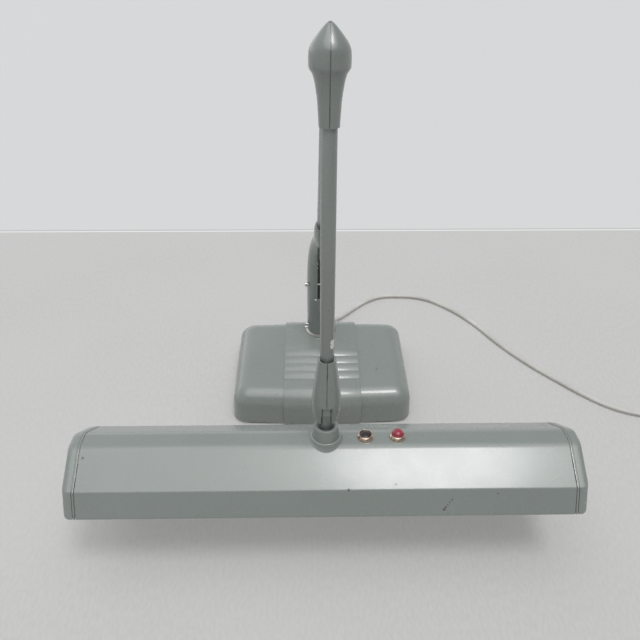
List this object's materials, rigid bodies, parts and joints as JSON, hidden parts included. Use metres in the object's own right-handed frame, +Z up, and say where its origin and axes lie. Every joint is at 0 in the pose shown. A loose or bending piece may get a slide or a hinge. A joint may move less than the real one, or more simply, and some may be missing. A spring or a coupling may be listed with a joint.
{
  "type": "desk lamp",
  "caption": "Balanced-arm desk lamp: weighted ribbed base, swivelling turret, a levelling upper arm and a long two-tube fluorescent shade with push buttons.",
  "frame": {"origin": "centre of the underside of the base's felt pad", "axes": "+Z up, -Y towards the front of the base, under the shade, +X to the right seen from the front"},
  "size_m": [0.9426, 0.5824, 0.6126],
  "materials": {
    "enamel": "satin grey-green enamel",
    "white_enamel": "satin white enamel",
    "chrome": "polished",
    "nickel": "worn nickel over brass",
    "steel": "plain steel",
    "iron": "black paint",
    "felt": "felt",
    "black_plastic": "moulded",
    "red_plastic": "moulded",
    "cream_plastic": "moulded",
    "lamp_glass": "phosphor-coated glass tube",
    "cord_vinyl": "matte vinyl"
  },
  "bodies": {
    "base": {"base_cover": "enamel", "felt_pad": "felt", "bottom_plate": "steel", "base_weight": "iron", "ballast": "iron", "swivel_post": "steel", "swivel_ring": "chrome", "cord_grommet": "black_plastic", "power_cord": "cord_vinyl", "cord_coil": "cord_vinyl", "cord_tail": "cord_vinyl", "plug": "black_plastic"},
    "turret": {"turret_shell_left": "enamel", "turret_shell_right": "enamel", "turret_screw_lower": "steel", "turret_screw_upper": "steel", "turret_pivot_pin": "steel", "swivel_bush": "steel", "balance_spring_left": "steel", "balance_spring_right": "steel"},
    "lower_arm": {"lower_arm_tube": "enamel", "lower_arm_ferrule": "enamel", "lower_arm_fork": "steel", "spring_cross_pin": "steel", "elbow_link": "steel", "elbow_pin": "steel"},
    "upper_arm": {"upper_arm_tube": "enamel", "upper_arm_foot": "steel", "elbow_cover_left": "enamel", "elbow_cover_right": "enamel"},
    "upper_rod": {"upper_rod": "steel"},
    "head": {"head_casing_left": "enamel", "head_casing_right": "enamel", "head_pivot_pin": "steel", "head_rod_pin": "steel", "tilt_pin": "steel"},
    "knuckle": {"shade_knuckle": "enamel", "swivel_nut": "steel"},
    "shade": {"neck_collar": "enamel", "saddle_flange": "enamel", "shade_shell": "enamel", "end_cap_left": "enamel", "end_cap_right": "enamel", "wiring_channel": "white_enamel", "lamp_front": "lamp_glass", "lamp_rear": "lamp_glass", "lamp_holder_left": "cream_plastic", "lamp_holder_right": "cream_plastic", "start_switch": "black_plastic", "stop_switch": "black_plastic", "start_bezel": "nickel", "stop_bezel": "nickel"},
    "start_button": {"start_button": "red_plastic"},
    "stop_button": {"stop_button": "black_plastic"}
  },
  "joints": [
    {"name": "turret_swivel", "type": "hinge", "parent": "base", "child": "turret", "pos_m": [0, 0.066, 0.066], "axis": [0, 0, 1], "range_deg": [-165, 165]},
    {"name": "lower_arm_lift", "type": "hinge", "parent": "turret", "child": "lower_arm", "pos_m": [0, 0.066, 0.19], "axis": [1, 0, 0], "range_deg": [-24, 5], "deforming": ["balance_spring_left", "balance_spring_right"]},
    {"name": "upper_arm_lift", "type": "hinge", "parent": "lower_arm", "child": "upper_arm", "pos_m": [0, -0.20989, 0.58401], "axis": [-1, 0, 0], "range_deg": [-2, 60]},
    {"name": "upper_rod_swing", "type": "hinge", "parent": "lower_arm", "child": "upper_rod", "pos_m": [0, -0.21602, 0.58915], "axis": [-1, 0, 0], "range_deg": [-2, 60]},
    {"name": "head_level", "type": "hinge", "parent": "upper_arm", "child": "head", "pos_m": [0, -0.26206, 0.24703], "axis": [-1, 0, 0], "range_deg": [-60, 2]},
    {"name": "shade_tilt", "type": "hinge", "parent": "head", "child": "knuckle", "pos_m": [0, -0.26206, 0.20603], "axis": [-1, 0, 0], "range_deg": [-15, 20]},
    {"name": "shade_swivel", "type": "hinge", "parent": "knuckle", "child": "shade", "pos_m": [0, -0.26697, 0.15928], "axis": [0, 0.1045, 0.9945], "range_deg": [-20, 20]},
    {"name": "start_press", "type": "slide", "parent": "shade", "child": "start_button", "axis": [0, -0.1045, -0.9945], "range_m": [0, 0.003], "stiffness_N_per_m": 300, "springref_m": -0.002},
    {"name": "stop_press", "type": "slide", "parent": "shade", "child": "stop_button", "axis": [0, -0.1045, -0.9945], "range_m": [0, 0.0025], "stiffness_N_per_m": 300, "springref_m": -0.002}
  ],
  "couplings": [
    {"joint": "upper_rod_swing", "follows": "upper_arm_lift", "ratio": 1},
    {"joint": "head_level", "follows": "upper_arm_lift", "ratio": -1}
  ]
}
